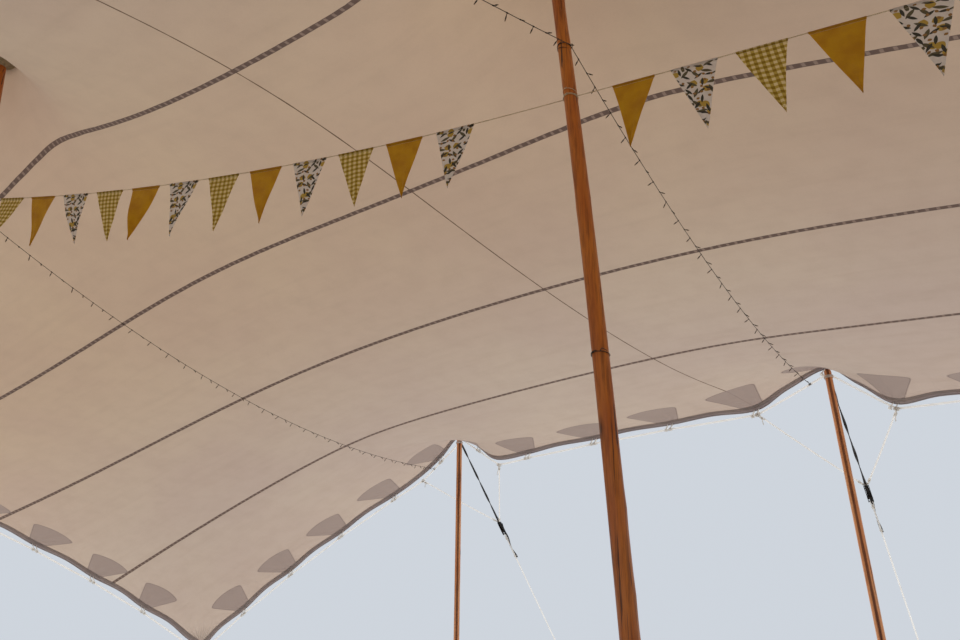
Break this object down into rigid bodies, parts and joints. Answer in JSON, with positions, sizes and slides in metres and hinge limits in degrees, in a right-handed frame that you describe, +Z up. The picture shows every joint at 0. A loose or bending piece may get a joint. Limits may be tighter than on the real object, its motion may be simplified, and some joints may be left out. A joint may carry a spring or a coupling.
{
  "type": "stretch tent",
  "caption": "Free-form stretch tent: sewn elastic canopy over leaning timber main poles and side poles, drawn out by an edge rope, straps and stakes, with bunting and light strings.",
  "frame": {"origin": "on level ground under the middle of the tent", "axes": "+X along the length of the tent, +Y towards its far long side, +Z up"},
  "size_m": [20.848, 15.948, 5.138],
  "materials": {
    "cloth": "matt elastic tent cloth, warm beige, sewn seams in darker thread",
    "timber": "peeled and oiled round timber with knots and drying cracks",
    "cap": "padded dull grey-brown cover",
    "rope": "braided off-white rope",
    "strap": "black woven strap with a black ratchet",
    "stake": "worn forged steel",
    "cable": "thin dark cable",
    "flag": "cotton flags on a twisted string"
  },
  "bodies": {
    "root": {"canopy_strip_1": "cloth", "canopy_strip_2": "cloth", "canopy_strip_3": "cloth", "canopy_strip_4": "cloth", "canopy_strip_5": "cloth", "canopy_strip_6": "cloth", "canopy_strip_7": "cloth", "main_pole_1": "timber", "main_pole_cap_1": "cap", "main_pole_2": "timber", "main_pole_cap_2": "cap", "side_pole_1": "timber", "side_pole_2": "timber", "side_pole_3": "timber", "side_pole_4": "timber", "side_pole_5": "timber", "side_pole_6": "timber", "side_pole_7": "timber", "side_pole_8": "timber", "guy_strap_1": "strap", "guy_rope_1": "rope", "guy_strap_2": "strap", "guy_rope_2": "rope", "guy_strap_3": "strap", "guy_rope_3": "rope", "guy_strap_4": "strap", "guy_rope_4": "rope", "guy_strap_5": "strap", "guy_rope_5": "rope", "guy_strap_6": "strap", "guy_rope_6": "rope", "guy_strap_7": "strap", "guy_rope_7": "rope", "guy_strap_8": "strap", "guy_rope_8": "rope", "stake_1": "stake", "stake_2": "stake", "stake_3": "stake", "stake_4": "stake", "stake_5": "stake", "stake_6": "stake", "stake_7": "stake", "stake_8": "stake", "stake_9": "stake", "stake_10": "stake", "stake_11": "stake", "stake_12": "stake", "edge_rope": "rope", "bunting_left": "flag", "bunting_right": "flag", "light_string_1": "cable", "light_string_2": "cable"}
  },
  "joints": []
}
